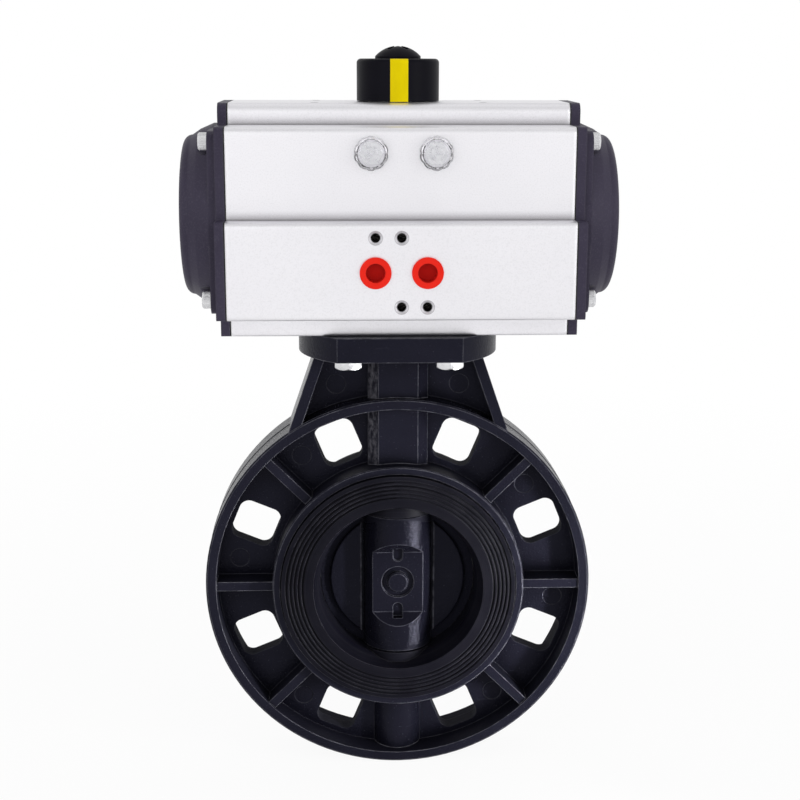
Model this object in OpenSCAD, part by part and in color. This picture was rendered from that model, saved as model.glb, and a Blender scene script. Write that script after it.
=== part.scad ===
// Wafer butterfly valve with a rack-and-pinion pneumatic actuator, shown closed.
// Frame: origin where the pipe axis crosses the stem axis, +Z up the stem, -Y towards the viewer.

/* [Wafer ring] */
// Outer diameter of the wafer ring
ring_d = 196; // [193:0.5:200]
// Depth of the wafer ring along the pipe
ring_w = 35; // [33:0.5:38]
// Radial wall of the wafer ring
ring_wall = 5.3; // [4.5:0.1:6]
// Thickness of the web between the ring and the collar
web_t = 8.5; // [7:0.5:12]
// Outer diameter of the collar round the liner
collar_d = 128; // [127:0.2:130]
// Radial wall of the collar
collar_wall = 3.8; // [3:0.1:4]
// Depth of the collar along the pipe
collar_w = 42; // [40:0.5:43]
// Thickness of the radial ribs
rib_t = 4.8; // [4:0.1:6]
// Depth of the radial ribs along the pipe
rib_w = 32.6; // [28:0.2:33]

/* [Pipe bolt slots] */
// Circle through the middle of the slots
slot_pcd = 157; // [155:0.5:159]
// Width of a slot round the ring
slot_w = 20.5; // [18:0.5:22]
// Length of a slot along the radius
slot_l = 22; // [19:0.5:23]
// Corner radius of a slot
slot_r = 5; // [2:0.5:8]

/* [Neck and top flange] */
// Height of the mounting face above the pipe axis
flange_z = 133; // [131:0.5:136]
// Thickness of the top flange
flange_t = 12; // [11:0.5:13]
// Radius of the top flange
flange_r = 49.5; // [48:0.5:52]
// Distance from the stem axis to the flat front of the top flange
flange_flat = 39.3; // [37:0.1:42]
// Bolt circle of the top flange
bolt_pcd = 70; // [69:0.5:71]
// Diameter of the mounting bolts
bolt_d = 8; // [7:0.5:9]
// Width over the neck's side walls, just under the flange
neck_top = 81.5; // [79:0.5:84]
// Width over the neck's side walls, where they land on the ring
neck_foot = 111; // [109:0.5:112]
// Thickness of the neck's side walls
neck_wall = 5.6; // [4.5:0.1:6]
// Half width of the stem housing
housing_x = 15; // [14:0.2:16]
// Distance from the stem axis to the flat front of the stem housing
housing_y = 14; // [13.5:0.1:15.5]
// Radius of the blind boss under the disc
boss_r = 12.8; // [12.2:0.1:14]

/* [Stem and disc] */
// Diameter of the stem
stem_d = 16; // [15:0.2:16.6]
// Width of the square on top of the stem
stem_sq = 11; // [10:0.1:11.2]
// Outer diameter of the stem bushes
bush_d = 21; // [20:0.2:22]
// Radial running clearance of every shaft, bush and piston ring
run_gap = 0.05; // [0.03:0.01:0.08]
// Bore of the liner at the seat
seat_d = 80; // [79:0.2:81]
// Bore of the liner at its mouth
mouth_d = 86.4; // [85:0.2:87]
// Clearance between the liner's faces and the collar round them
liner_gap = 0.6; // [0.3:0.1:1]
// Width over the liner's flat faces
liner_w = 46; // [44.5:0.1:47]
// Spacing of the sealing grooves in the liner's faces
groove_p = 2.05; // [1.9:0.05:2.1]
// Radius of the innermost sealing groove
groove_r = 48.7; // [48:0.1:49]
// Clearance between the disc's edge and the seat
seat_gap = 0.15; // [0.1:0.05:0.4]
// Thickness of the disc across its flat faces
disc_t = 9; // [8:0.5:11]
// How far the disc's rim lies below its flat faces
rim_step = 2; // [1.5:0.25:3]
// Width of the disc's rim
rim_w = 4.8; // [4:0.1:6]
// Clearance between the hub and the raised flat faces
pad_gap = 0.5; // [0.3:0.1:1]
// Rounding of the raised faces' edges
pad_round = 1.2; // [0.8:0.1:1.8]
// Diameter of the disc's hub
hub_d = 35.6; // [34:0.2:36.4]
// Distance from the stem axis to the flats on the hub
flat_y = 12.2; // [11.8:0.1:13.5]
// Half height of the flats on the hub
flat_z = 16.2; // [14:0.2:18]

/* [Actuator body] */
// Cylinder bore
bore_d = 83; // [81:0.25:84]
// Length of the extruded body
body_l = 161; // [159:0.5:168]
// Wall between the bore and the mounting face
floor_t = 13.2; // [12.5:0.1:14.5]
// Wall between the bore and the top pad
roof_t = 13.1; // [12.5:0.1:14.5]
// Wall between the bore and the body's side
side_t = 4.5; // [4:0.25:6]
// Distance from the bore axis to the solenoid face
face_y = 57; // [56:0.25:60]
// Half width of the top pad
top_y = 23.7; // [22:0.1:26]
// Half width of the foot
foot_y = 33; // [32.5:0.25:36]
// Height of the solenoid face's centre above the mounting face
port_h = 34; // [33:0.25:35]
// Distance between the two air ports
port_gap = 24; // [24:1:24]
// Bore of the air ports
port_d = 11.8; // [11:0.1:12.4]
// Drill of the small tapped holes
tap_d = 4.2; // [4:0.1:4.5]

/* [Rack and pinion] */
// Gear module
gear_m = 1.5; // [1.5:0.5:1.5]
// Teeth on the pinion
gear_n = 20; // [18:2:20]
// Height of the gear teeth along the stem axis
gear_h = 32; // [28:1:34]
// Thinning of each tooth at the pitch line
backlash = 0.14; // [0.1:0.01:0.2]
// Radius of the pinion's upper shaft
shaft_r = 11; // [10:0.2:11.6]
// Width of the pinion's drive socket
drive_sq = 17; // [16:0.2:17.4]
// Thickness of a piston
piston_t = 20; // [18:0.5:21]
// Clearance between a rack's end and the other piston
rack_gap = 3.2; // [2:0.1:4]

/* [End caps] */
// Thickness of the end cap's plate
cap_t = 4.3; // [3.8:0.1:6]
// Height of the raised step on the end cap's plate
step_t = 3.6; // [2.5:0.1:4.5]
// Length of the end cap's dome beyond its plate
dome_l = 18; // [15:0.25:22]
// Distance from the body's shoulder down to the foot of the dome
dome_edge = 0.2; // [0.1:0.1:1.4]
// How far the dome's end lies inside its foot
dome_draw = 5.6; // [4.4:0.1:8]
// Thickness of the cap gaskets
gasket_t = 0.6; // [0.4:0.1:1.2]
// Distance from the body's side to the cap screws
screw_side = 16; // [15:0.25:17]
// Distance from the body's shoulder down to the cap screws
screw_edge = 7.4; // [6.6:0.1:8.1]

/* [Indicator and stops] */
// Diameter of the position indicator
ind_d = 39.75; // [38:0.25:42]
// Height of the position indicator
ind_h = 19.8; // [19:0.2:23]
// Width of the indicator's stripe
stripe_w = 8.5; // [7:0.25:10]
// Depth of the stop bolts below the top of the bore
stop_drop = 8.5; // [8.1:0.1:9.5]
// Half distance between the stop bolts
stop_x = 15; // [14.5:0.1:15.5]
// Distance of the stop bolts' middle to the right of the stem axis
stop_off = 1.2; // [0:0.1:1.5]
// Diameter of the stop bolts
stop_d = 6; // [5:0.25:6.5]
// Width over the clear stop caps
stop_cap_d = 15.8; // [15.6:0.2:17]

/* [Hidden] */
$fn = 72;
bore_r = bore_d / 2;
axis_h = bore_r + floor_t;
top_h = bore_r + roof_t;
body_y = bore_r + side_t;
ring_r = ring_d / 2;
ring_ri = ring_r - ring_wall;
collar_r = collar_d / 2;
core_ro = collar_r - collar_wall;
liner_r = core_ro - liner_gap;
core_w = 32;
sleeve_r = seat_d / 2 + 6;
stem_r = stem_d / 2;
bush_r = bush_d / 2;
flange_z0 = flange_z - flange_t;
bolt_p = bolt_pcd / 2 / sqrt(2);
bolt_r = bolt_d / 2;
head_h = 5.3;
disc_r = seat_d / 2 - seat_gap;
pole_z = disc_r - 3.65;
hub_r = hub_d / 2;
pole_r = hub_r + 0.7;
pad_x = hub_r + pad_gap;
pad_r = disc_r - rim_w;
pin_y = stem_r + 0.6;
az = flange_z + axis_h;
top_z = az + top_h;
shoulder_h = top_h - 10;
dome_base = shoulder_h - dome_edge;
dome_r = dome_base - dome_draw;
step_h = 2.3;
screw_y = body_y - screw_side;
screw_z = shoulder_h - screw_edge;
foot_h = axis_h - 11.7;
half_l = body_l / 2;
pitch_r = gear_m * gear_n / 2;
tip_r = pitch_r + gear_m;
root_r = pitch_r - 1.25 * gear_m;
pitch = PI * gear_m;
travel = pitch_r * PI / 2;
journal_r = tip_r + 0.4;
journal_bore = journal_r + 0.3;
shaft_bore = shaft_r + 0.3;
piston_x = half_l - 1.2 - travel - piston_t;
piston_r = bore_r - 0.3;
ring_out = bore_r - run_gap;
bar_z = 15;
bar_y = sqrt(pow(bore_r - 1.5, 2) - pow(bar_z, 2));
cap_x = half_l + gasket_t;
seat_x = cap_x + cap_t + step_t;
dome_x = cap_x + cap_t + dome_l;
port_z = flange_z + port_h;
duct_y = body_y + 4;
duct_z = port_z - 9.7;
stop_r = stop_d / 2;
stop_z = bore_r - stop_drop;
stop_tip = 12;
cam_gap = 0.3;
cam_r = 20.5;
ind_z = top_z + 0.4;
ind_r = ind_d / 2;
screw_top = 5.98;
dome_ball = 14.8;
shoulder_z = top_z + 6.4;
clip_z = flange_z - 4;

upvc = [0.11, 0.11, 0.14];
rubber = [0.13, 0.13, 0.14];
alloy = [0.86, 0.86, 0.88];
steel = [0.72, 0.73, 0.75];
black = [0.16, 0.15, 0.19];
seal = [0.05, 0.05, 0.05];
acetal = [0.90, 0.89, 0.84];
red = [0.90, 0.16, 0.13];
yellow = [0.90, 0.80, 0.06];
clear = [0.92, 0.93, 0.95, 0.45];

// A flat (y, z) shape drawn out along X from x0
module along_x(x0, l) translate([x0, 0, 0]) rotate([90, 0, 90]) linear_extrude(l) children();

// A flat (x, z) shape drawn out along Y, centred on the pipe's middle plane
module along_y(l) rotate([90, 0, 0]) linear_extrude(l, center = true) children();

// A ring round the pipe axis with chamfered outer edges
module pipe_ring(r1, r2, w, c) rotate([90, 0, 0]) rotate_extrude()
    polygon([[r1, -w / 2], [r2 - c, -w / 2], [r2, c - w / 2], [r2, w / 2 - c], [r2 - c, w / 2], [r1, w / 2]]);

// A plain ring standing on z0 round the stem axis
module stem_ring(r1, r2, z0, h) translate([0, 0, z0]) difference() {
    cylinder(r = r2, h = h);
    translate([0, 0, -1]) cylinder(r = r1, h = h + 2);
}

// A round-section ring about the stem axis
module stem_torus(r, rs, z) translate([0, 0, z]) rotate_extrude() translate([r, 0]) circle(rs);

// A rectangle with round corners
module rounded(w, h, r) {
    square([w - 2 * r, h], center = true);
    square([w, h - 2 * r], center = true);
    for (sx = [-1, 1], sy = [-1, 1])
        translate([sx * (w / 2 - r), sy * (h / 2 - r)]) circle(r);
}

// The sharp piece that rounding a corner at p takes away, with d pointing out of the material
module corner(p, d, r) translate(p) difference() {
    translate([d[0] > 0 ? -r : 0, d[1] > 0 ? -r : 0]) square(r);
    translate([-d[0] * r, -d[1] * r]) circle(r);
}

// Places children on the four corners of a rectangle round the stem axis
module four(x, y) for (sx = [-1, 1], sy = [-1, 1]) translate([sx * x, sy * y, 0]) children();

// Places children, which point along +X, on the four cap screw axes
module at_screws() for (sy = [-1, 1], sz = [-1, 1])
    translate([0, sy * screw_y, az + sz * screw_z]) children();

module rod_x(r, x0, l) translate([x0, 0, 0]) rotate([0, 90, 0]) cylinder(r = r, h = l);

module rod_y(r, y0, l) translate([0, y0, 0]) rotate([-90, 0, 0]) cylinder(r = r, h = l);

module neck_side() polygon([[neck_top / 2, flange_z0 + 1], [neck_foot / 2, 79],
                            [neck_foot / 2 - neck_wall, 79.6], [neck_top / 2 - neck_wall, flange_z0 + 1]]);

module valve_body() color(upvc) difference() {
    union() {
        pipe_ring(ring_ri, ring_r, ring_w, 0.8);
        pipe_ring(ring_r - 1, ring_r + 0.25, 1, 0.2);
        along_y(web_t) difference() {
            circle(ring_r - 1);
            circle(collar_r - 1);
        }
        pipe_ring(core_ro, collar_r, collar_w, 0.6);
        pipe_ring(sleeve_r, collar_r - 0.5, core_w, 0.2);
        for (a = [0, 45, 135, 180, 225, 315]) rotate([0, -a, 0])
            translate([(collar_r + ring_ri) / 2, 0, 0])
                cube([ring_ri - collar_r + 3, rib_w, rib_t], center = true);
        translate([0, 0, collar_r - 2]) linear_extrude(flange_z0 - collar_r + 3)
            polygon([[9.9, -housing_y], [housing_x, 5.1 - housing_y], [housing_x, housing_y - 5.1],
                     [9.9, housing_y], [-9.9, housing_y], [-housing_x, housing_y - 5.1],
                     [-housing_x, 5.1 - housing_y], [-9.9, -housing_y]]);
        translate([0, 0, -ring_ri - 2]) cylinder(r = boss_r, h = ring_ri - collar_r + 4);
        along_y(ring_w - 1) neck_side();
        along_y(ring_w - 1) mirror([1, 0]) neck_side();
        along_y(web_t) difference() {
            polygon([[neck_top / 2 - 3, flange_z0 + 1], [neck_foot / 2 - 4, 79.5],
                     [4 - neck_foot / 2, 79.5], [3 - neck_top / 2, flange_z0 + 1]]);
            circle(ring_r - 2);
        }
        translate([0, 0, flange_z0]) linear_extrude(flange_t) intersection() {
            circle(flange_r);
            square([3 * flange_r, 2 * flange_flat], center = true);
        }
    }
    for (k = [0:7]) rotate([0, -22.5 - 45 * k, 0]) translate([slot_pcd / 2, 0, 0])
        along_y(2 * web_t) rounded(slot_l, slot_w, slot_r);
    for (a = [37.5, 126.5, 172, 233, 308, 352]) rotate([0, -a, 0]) translate([82, 0, 0])
        rod_y(4.9, -web_t, web_t / 2 + 0.3);
    for (s = [-1, 1]) translate([s * 31, 0, flange_z0 - 18]) rod_y(4.9, -web_t, web_t / 2 + 0.3);
    translate([0, 0, -ring_ri + 6]) cylinder(r = stem_r + 0.3, h = flange_z + ring_ri);
    translate([0, 0, -ring_ri + 6]) cylinder(r = bush_r, h = ring_ri - sleeve_r);
    translate([0, 0, flange_z0 - 20]) cylinder(r = bush_r, h = flange_t + 30);
    translate([0, 0, clip_z]) cylinder(r = 13, h = 20);
    four(bolt_p, bolt_p) translate([0, 0, flange_z0 - 1]) cylinder(r = bolt_r + 0.4, h = flange_t + 2);
}

module liner_section() difference() {
    polygon([[seat_d / 2, -13], [mouth_d / 2, -liner_w / 2], [liner_r, -liner_w / 2],
             [liner_r, -core_w / 2], [sleeve_r, -core_w / 2], [sleeve_r, core_w / 2],
             [liner_r, core_w / 2], [liner_r, liner_w / 2], [mouth_d / 2, liner_w / 2],
             [seat_d / 2, 13]]);
    for (k = [0:4], s = [-1, 1]) translate([groove_r + k * groove_p, s * liner_w / 2]) circle(0.6);
}

module seat_liner() color(rubber) difference() {
    union() {
        rotate([90, 0, 0]) rotate_extrude() liner_section();
        for (s = [0, 180]) rotate([0, s, 0]) translate([0, 0, pole_z + 0.3]) cylinder(r = pole_r, h = 5);
    }
    cylinder(r = stem_r + run_gap, h = 2 * ring_r, center = true);
}

module upper_stem_bush() color(acetal)
    stem_ring(stem_r + run_gap, bush_r, flange_z0 - 20, clip_z - flange_z0 + 20);

module lower_stem_bush() color(acetal)
    stem_ring(stem_r + run_gap, bush_r, -ring_ri + 6, ring_ri - sleeve_r - 8);

module mounting_bolts() color(steel) four(bolt_p, bolt_p) {
    translate([0, 0, flange_z0 - head_h]) rotate([0, 0, 30]) cylinder(d = 13 / cos(30), h = head_h, $fn = 6);
    translate([0, 0, flange_z0 - 1]) cylinder(r = bolt_r, h = flange_t + 13);
}

// One end of the key notch in a hub flat, open towards +Z
module key_notch() translate([0, 1.2 - flat_y, flat_z - 2.4]) rotate([90, 0, 0]) linear_extrude(20) {
    circle(d = 5);
    translate([-2.5, 0]) square([5, 5]);
}

// Plan of the raised faces on both sides of the hub, with the edges beside the hub rounded
module pad_plan() for (m = [0, 1]) mirror([m, 0]) difference() {
    translate([pad_x, -disc_t / 2]) square([disc_r, disc_t]);
    for (s = [-1, 1]) corner([pad_x, s * disc_t / 2], [-1, s], pad_round);
}

// Half section of the raised faces along the disc's radius, with the outer edges rounded
module pad_section() difference() {
    translate([0, -disc_t / 2]) square([pad_r, disc_t]);
    for (s = [-1, 1]) corner([pad_r, s * disc_t / 2], [1, s], pad_round);
}

module disc() color(upvc) difference() {
    intersection() {
        sphere(disc_r);
        union() {
            cube([3 * disc_r, disc_t - 2 * rim_step, 3 * disc_r], center = true);
            cylinder(r = hub_r, h = 3 * disc_r, center = true);
            intersection() {
                linear_extrude(3 * disc_r, center = true) pad_plan();
                rotate([90, 0, 0]) rotate_extrude() pad_section();
            }
        }
    }
    for (s = [0, 180]) rotate([0, 0, s]) {
        along_x(-hub_r, 2 * hub_r)
            polygon([[-flat_y, -flat_z], [-flat_y, flat_z],
                     [-flat_y - 10, flat_z + 10.5], [-flat_y - 10, -flat_z - 10.5]]);
        key_notch();
        mirror([0, 0, 1]) key_notch();
        rod_y(8.3, -flat_y - 1, 2.5);
        rod_y(5.5, -flat_y, flat_y - pin_y);
    }
    for (s = [0, 180]) rotate([0, s, 0]) translate([0, 0, pole_z]) cylinder(r = pole_r + 1.2, h = 20);
    cylinder(r = stem_r, h = 3 * disc_r, center = true);
    rod_y(3, -hub_r, 2 * hub_r);
}

module disc_pin() color(steel) rod_y(3, -pin_y, 2 * pin_y);

// Plugs over both ends of the pin, standing a little proud of the hub's flats
module pin_plugs() color(upvc) for (s = [0, 180]) rotate([0, 0, s])
    translate([0, -flat_y - 1, 0]) rotate([-90, 0, 0]) rotate_extrude()
        polygon([[0, 0], [4.7, 0], [5.5, 0.8], [5.5, flat_y + 1 - pin_y], [0, flat_y + 1 - pin_y]]);

module valve_stem() color(steel) difference() {
    union() {
        translate([0, 0, -ring_ri + 7]) cylinder(r = stem_r, h = flange_z + ring_ri - 6);
        intersection() {
            translate([0, 0, flange_z]) cylinder(r = stem_r, h = 24);
            translate([-stem_sq / 2, -stem_sq / 2, flange_z]) cube([stem_sq, stem_sq, 24]);
        }
    }
    rod_y(3, -stem_r - 1, 2 * stem_r + 2);
    for (z = [83, 90]) stem_ring(stem_r - 1.8, stem_r + 1, z - 1.2, 2.4);
    stem_ring(stem_r - 1, stem_r + 1, clip_z + 0.3, 1.4);
}

module stem_seals() color(seal) for (z = [83, 90]) stem_torus(stem_r + 0.25 - 1, 1, z);

module stem_clip() color(steel) difference() {
    stem_ring(stem_r - 1, stem_r + 2.4, clip_z + 0.3, 1.4);
    translate([-2, 0, clip_z]) cube([4, 20, 5]);
}

module drive_adaptor() color(steel) translate([0, 0, flange_z + 1.2]) difference() {
    translate([-drive_sq / 2, -drive_sq / 2, 0]) cube([drive_sq, drive_sq, 22]);
    intersection() {
        translate([-stem_sq / 2, -stem_sq / 2, -1]) cube([stem_sq, stem_sq, 30]);
        translate([0, 0, -1]) cylinder(r = stem_r, h = 30);
    }
}

// Outline of the extruded body about the bore axis, as (y, z)
module body_outline() difference() {
    polygon([[-top_y, top_h], [top_y, top_h], [top_y, shoulder_h], [body_y, shoulder_h],
             [body_y, -foot_h], [foot_y, -foot_h], [foot_y, -axis_h], [-foot_y, -axis_h],
             [-foot_y, -foot_h], [-face_y, -foot_h], [-face_y, step_h], [-body_y, step_h],
             [-body_y, shoulder_h], [-top_y, shoulder_h]]);
    corner([-top_y, top_h], [-1, 1], 4.5);
    corner([top_y, top_h], [1, 1], 4.5);
    corner([body_y, shoulder_h], [1, 1], 3);
    corner([-body_y, shoulder_h], [-1, 1], 3);
    corner([body_y, -foot_h], [1, -1], 3);
    corner([-face_y, step_h], [-1, 1], 2.2);
    corner([-face_y, -foot_h], [-1, -1], 1.5);
    corner([-foot_y, -axis_h], [-1, -1], 1.2);
    corner([foot_y, -axis_h], [1, -1], 1.2);
}

module tapped_y(x, z) translate([x, -face_y, z]) {
    rod_y(tap_d / 2, -1, 9);
    rotate([-90, 0, 0]) translate([0, 0, -0.5]) cylinder(r1 = tap_d / 2 + 1.65, r2 = tap_d / 2, h = 1.5);
}

module actuator_body() color(alloy) difference() {
    translate([0, 0, az]) along_x(-half_l, body_l) body_outline();
    translate([0, 0, az]) rod_x(bore_r, -half_l - 1, body_l + 2);
    translate([0, 0, flange_z - 1]) cylinder(r = journal_bore, h = axis_h);
    translate([0, 0, az]) cylinder(r = shaft_bore, h = top_h + 1);
    four(bolt_p, bolt_p) translate([0, 0, flange_z - 1]) cylinder(r = bolt_r, h = 15);
    four(40, 15) translate([0, 0, top_z - 9]) cylinder(r = tap_d / 2, h = 10);
    for (s = [-1, 1]) {
        translate([s * port_gap / 2, 0, port_z]) rod_y(port_d / 2, -face_y - 1, 12);
        translate([stop_off + s * stop_x, 0, az + stop_z]) rod_y(stop_r, -body_y - 1, body_y - 10);
        for (x = [-half_l - 1, half_l - 14]) at_screws() rod_x(2.5, x, 15);
    }
    translate([-port_gap / 2, 0, port_z]) rod_y(3, -face_y, 30);
    translate([0, -duct_y, duct_z]) rod_x(2.3, -half_l - 1, body_l + 2);
    translate([port_gap / 2, -duct_y, duct_z]) cylinder(r = 2, h = 8);
    tapped_y(-12, port_z + 16);
    tapped_y(0, port_z + 16);
    tapped_y(0, port_z - 16);
    tapped_y(12, port_z - 16);
}

// Half section of the dome, as (radius, x): short wall, sloping shoulder, round edge
module dome_section() {
    polygon([[0, cap_x], [dome_base, cap_x], [dome_base, seat_x], [(dome_base + dome_r) / 2, dome_x - 8],
             [dome_r, dome_x - 4], [dome_r - 4, dome_x], [0, dome_x]]);
    translate([dome_r - 4, dome_x - 4]) circle(4);
}

module right_end_cap() color(black) difference() {
    union() {
        translate([0, 0, az]) along_x(cap_x, cap_t) body_outline();
        translate([0, 0, az]) along_x(cap_x, cap_t + step_t) rounded(2 * body_y - 5, 2 * shoulder_h - 4, 6);
        translate([0, 0, az]) rotate([0, 90, 0]) rotate_extrude() dome_section();
    }
    translate([0, 0, az]) rod_x(dome_r - 4.5, cap_x - 1, dome_x - cap_x - 3);
    at_screws() {
        rod_x(6, seat_x, 40);
        rod_x(2.7, cap_x - 1, 40);
    }
    translate([0, 0, az]) rotate([atan2(duct_z - az, -duct_y), 0, 0])
        translate([cap_x - 1, 30, -2.5]) cube([3.5, norm([duct_y, duct_z - az]) - 27.7, 5]);
}

module left_end_cap() mirror([1, 0, 0]) right_end_cap();

module right_cap_gasket() color(seal) difference() {
    translate([0, 0, az]) along_x(half_l, gasket_t) body_outline();
    translate([0, 0, az]) rod_x(bore_r, half_l - 1, gasket_t + 2);
    at_screws() rod_x(2.7, half_l - 1, gasket_t + 2);
    translate([0, -duct_y, duct_z]) rod_x(2.3, half_l - 1, gasket_t + 2);
}

module left_cap_gasket() mirror([1, 0, 0]) right_cap_gasket();

module right_cap_screws() color(steel) at_screws() difference() {
    union() {
        rod_x(4.25, seat_x, 5);
        rod_x(2.5, half_l - 13, seat_x - half_l + 14);
    }
    translate([seat_x + 2.4, 0, 0]) rotate([0, 90, 0]) cylinder(d = 4.6, h = 5, $fn = 6);
}

module left_cap_screws() mirror([1, 0, 0]) right_cap_screws();

// Rack bar with straight-sided teeth facing the pinion, as (x, y)
half_pitch_w = pitch / 4 - backlash / 2;
rack_tip_w = half_pitch_w - gear_m * tan(20);
rack_root_w = half_pitch_w + 1.25 * gear_m * tan(20);
rack_end = rack_gap - piston_x;
rack_teeth = [for (k = [-7:2]) (k + 0.5) * pitch];
module rack_outline() polygon(concat(
    [[rack_end, -bar_y], [rack_end, -pitch_r - 1.25 * gear_m]],
    [for (c = rack_teeth) if (c - rack_root_w > rack_end + 0.2) each [
        [c - rack_root_w, -pitch_r - 1.25 * gear_m], [c - rack_tip_w, gear_m - pitch_r],
        [c + rack_tip_w, gear_m - pitch_r], [c + rack_root_w, -pitch_r - 1.25 * gear_m]]],
    [[piston_x + 2, -pitch_r - 1.25 * gear_m], [piston_x + 2, -bar_y]]));

module right_piston() color(alloy) difference() {
    union() {
        translate([0, 0, az]) rod_x(piston_r, piston_x, piston_t);
        translate([0, 0, az - bar_z]) linear_extrude(2 * bar_z) rack_outline();
    }
    translate([0, 0, az]) {
        rod_x(28, piston_x + piston_t - 9, 20);
        difference() {
            rod_x(bore_r + 1, piston_x + 3, 5);
            rod_x(bore_r - 3, piston_x + 2, 7);
        }
        difference() {
            rod_x(bore_r + 1, piston_x + 11.4, 5.2);
            rod_x(bore_r - 5.05, piston_x + 11, 6);
        }
    }
}

module left_piston() rotate([0, 0, 180]) right_piston();

module right_guide_ring() color(acetal) translate([0, 0, az]) difference() {
    rod_x(ring_out, piston_x + 3, 5);
    rod_x(bore_r - 3, piston_x + 2, 7);
}

module left_guide_ring() rotate([0, 0, 180]) right_guide_ring();

module right_piston_seal() color(seal) translate([piston_x + 14, 0, az]) rotate([0, 90, 0])
    rotate_extrude() translate([ring_out - (5 - run_gap) / 2, 0]) circle((5 - run_gap) / 2);

module left_piston_seal() rotate([0, 0, 180]) right_piston_seal();

module right_rack_pad() color(acetal) translate([0, 0, az]) intersection() {
    rod_x(ring_out, -50, 100);
    translate([rack_end + 3, -bar_y - 20, -9]) cube([22, 20, 18]);
}

module left_rack_pad() rotate([0, 0, 180]) right_rack_pad();

// Involute tooth: half angle left of the tooth's middle at radius r, in degrees
base_r = pitch_r * cos(20);
function inv(a) = tan(a) * 180 / PI - a;
function half_angle(r) = (pitch / 2 - backlash) / 2 / pitch_r * 180 / PI
    + inv(20) - inv(acos(min(1, base_r / r)));
flank = [for (i = [0:5]) base_r + (tip_r - base_r) * i / 5];
function polar(r, a) = [r * cos(a), r * sin(a)];
module gear_outline() polygon([for (t = [0:gear_n - 1]) let (m = 90 + 360 * t / gear_n) each concat(
    [polar(root_r, m - half_angle(base_r) - 0.3)],
    [for (r = flank) polar(r, m - half_angle(r))],
    [for (i = [5:-1:0]) polar(flank[i], m + half_angle(flank[i]))],
    [polar(root_r, m + half_angle(base_r) + 0.3)])]);

module pinion() color(steel) difference() {
    union() {
        translate([0, 0, flange_z + 0.4]) cylinder(r = journal_r, h = axis_h - gear_h / 2 - 0.4);
        translate([0, 0, az - gear_h / 2 - 0.5]) linear_extrude(gear_h + 0.5) gear_outline();
        translate([0, 0, az]) cylinder(r = shaft_r, h = shoulder_z - az);
        translate([-6, -6, shoulder_z - 1]) cube([12, 12, ind_h - 8]);
    }
    translate([-drive_sq / 2, -drive_sq / 2, flange_z]) cube([drive_sq, drive_sq, 24.2]);
    stem_ring(journal_r - 2.8, journal_r + 1, flange_z + 2, 3.2);
    stem_ring(journal_r - 1.6, journal_r + 1, flange_z + 6.4, 5);
    stem_ring(shaft_r - 2.4, shaft_r + 1, top_z - 5, 2.8);
    stem_ring(shaft_r - 1.2, shaft_r + 1, top_z - 11.4, 5);
    stem_ring(shaft_r - 1, shaft_r + 1, top_z + 1.6, 1.2);
    translate([0, 0, shoulder_z - 6]) cylinder(r = 3, h = 30);
}

module stop_cam() color(steel) translate([0, 0, az + stop_z - 3.6]) linear_extrude(5.6) difference() {
    union() {
        circle(15);
        intersection() {
            circle(cam_r);
            polygon([[cam_gap - stop_tip, -5], [-5, cam_gap - stop_tip], [30, cam_gap - stop_tip], [30, 30],
                     [cam_gap - stop_tip, 30]]);
        }
    }
    circle(shaft_r);
}

module lower_pinion_bearing() color(acetal)
    stem_ring(journal_r - 1.6, journal_bore - run_gap, flange_z + 6.4, 5);

module upper_pinion_bearing() color(acetal) stem_ring(shaft_r - 1.2, shaft_bore - run_gap, top_z - 11.4, 5);

module lower_pinion_seal() color(seal) stem_torus(journal_bore - run_gap - 1.5, 1.5, flange_z + 3.6);

module upper_pinion_seal() color(seal) stem_torus(shaft_bore - run_gap - 1.3, 1.3, top_z - 3.6);

module thrust_washer() color(acetal) stem_ring(shaft_bore, 15.5, top_z, 1.3);

module pinion_clip() color(steel) difference() {
    stem_ring(shaft_r - 1, 14, top_z + 1.6, 1.2);
    translate([-2.5, 0, top_z]) cube([5, 20, 5]);
}

// Outside of the position indicator, with its top edge rounded
module indicator_form() translate([0, 0, ind_z]) rotate_extrude() {
    square([ind_r, ind_h - 2]);
    square([ind_r - 2, ind_h]);
    translate([ind_r - 2, ind_h - 2]) circle(2);
}

module stripe_space() for (s = [0, 180]) rotate([0, 0, s])
    translate([-stripe_w / 2, -ind_r - 1, ind_z - 1]) cube([stripe_w, 3.2, ind_h + 2]);

module indicator_housing() color(black) difference() {
    indicator_form();
    stripe_space();
    translate([0, 0, ind_z - 1]) cylinder(r = ind_r - 2.9, h = shoulder_z - ind_z + 1);
    translate([-6, -6, ind_z]) cube([12, 12, shoulder_z - ind_z + ind_h - 9]);
    translate([0, 0, ind_z]) cylinder(r = 3, h = ind_h + 1);
}

module indicator_stripes() color(yellow) intersection() {
    indicator_form();
    stripe_space();
}

module indicator_screw() color(black) translate([0, 0, ind_z + ind_h]) difference() {
    union() {
        intersection() {
            translate([0, 0, screw_top - dome_ball]) sphere(dome_ball);
            cylinder(r = 11, h = 10);
        }
        translate([0, 0, -ind_h + 4]) cylinder(r = 3, h = ind_h);
    }
    for (a = [45, 135]) rotate([0, 0, a]) translate([-6.5, -1.2, screw_top - 3.1]) cube([13, 2.4, 5]);
}

module stop_bolts() color(steel) for (s = [-1, 1]) translate([stop_off + s * stop_x, 0, az + stop_z])
    rod_y(stop_r, -body_y - 5.6, body_y + 5.6 - stop_tip);

module stop_nuts() color(steel) for (s = [-1, 1]) translate([stop_off + s * stop_x, -body_y - 4, az + stop_z])
    rotate([-90, 0, 0]) difference() {
        cylinder(d = 10 / cos(30), h = 4, $fn = 6);
        translate([0, 0, -1]) cylinder(r = stop_r, h = 6);
    }

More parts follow.
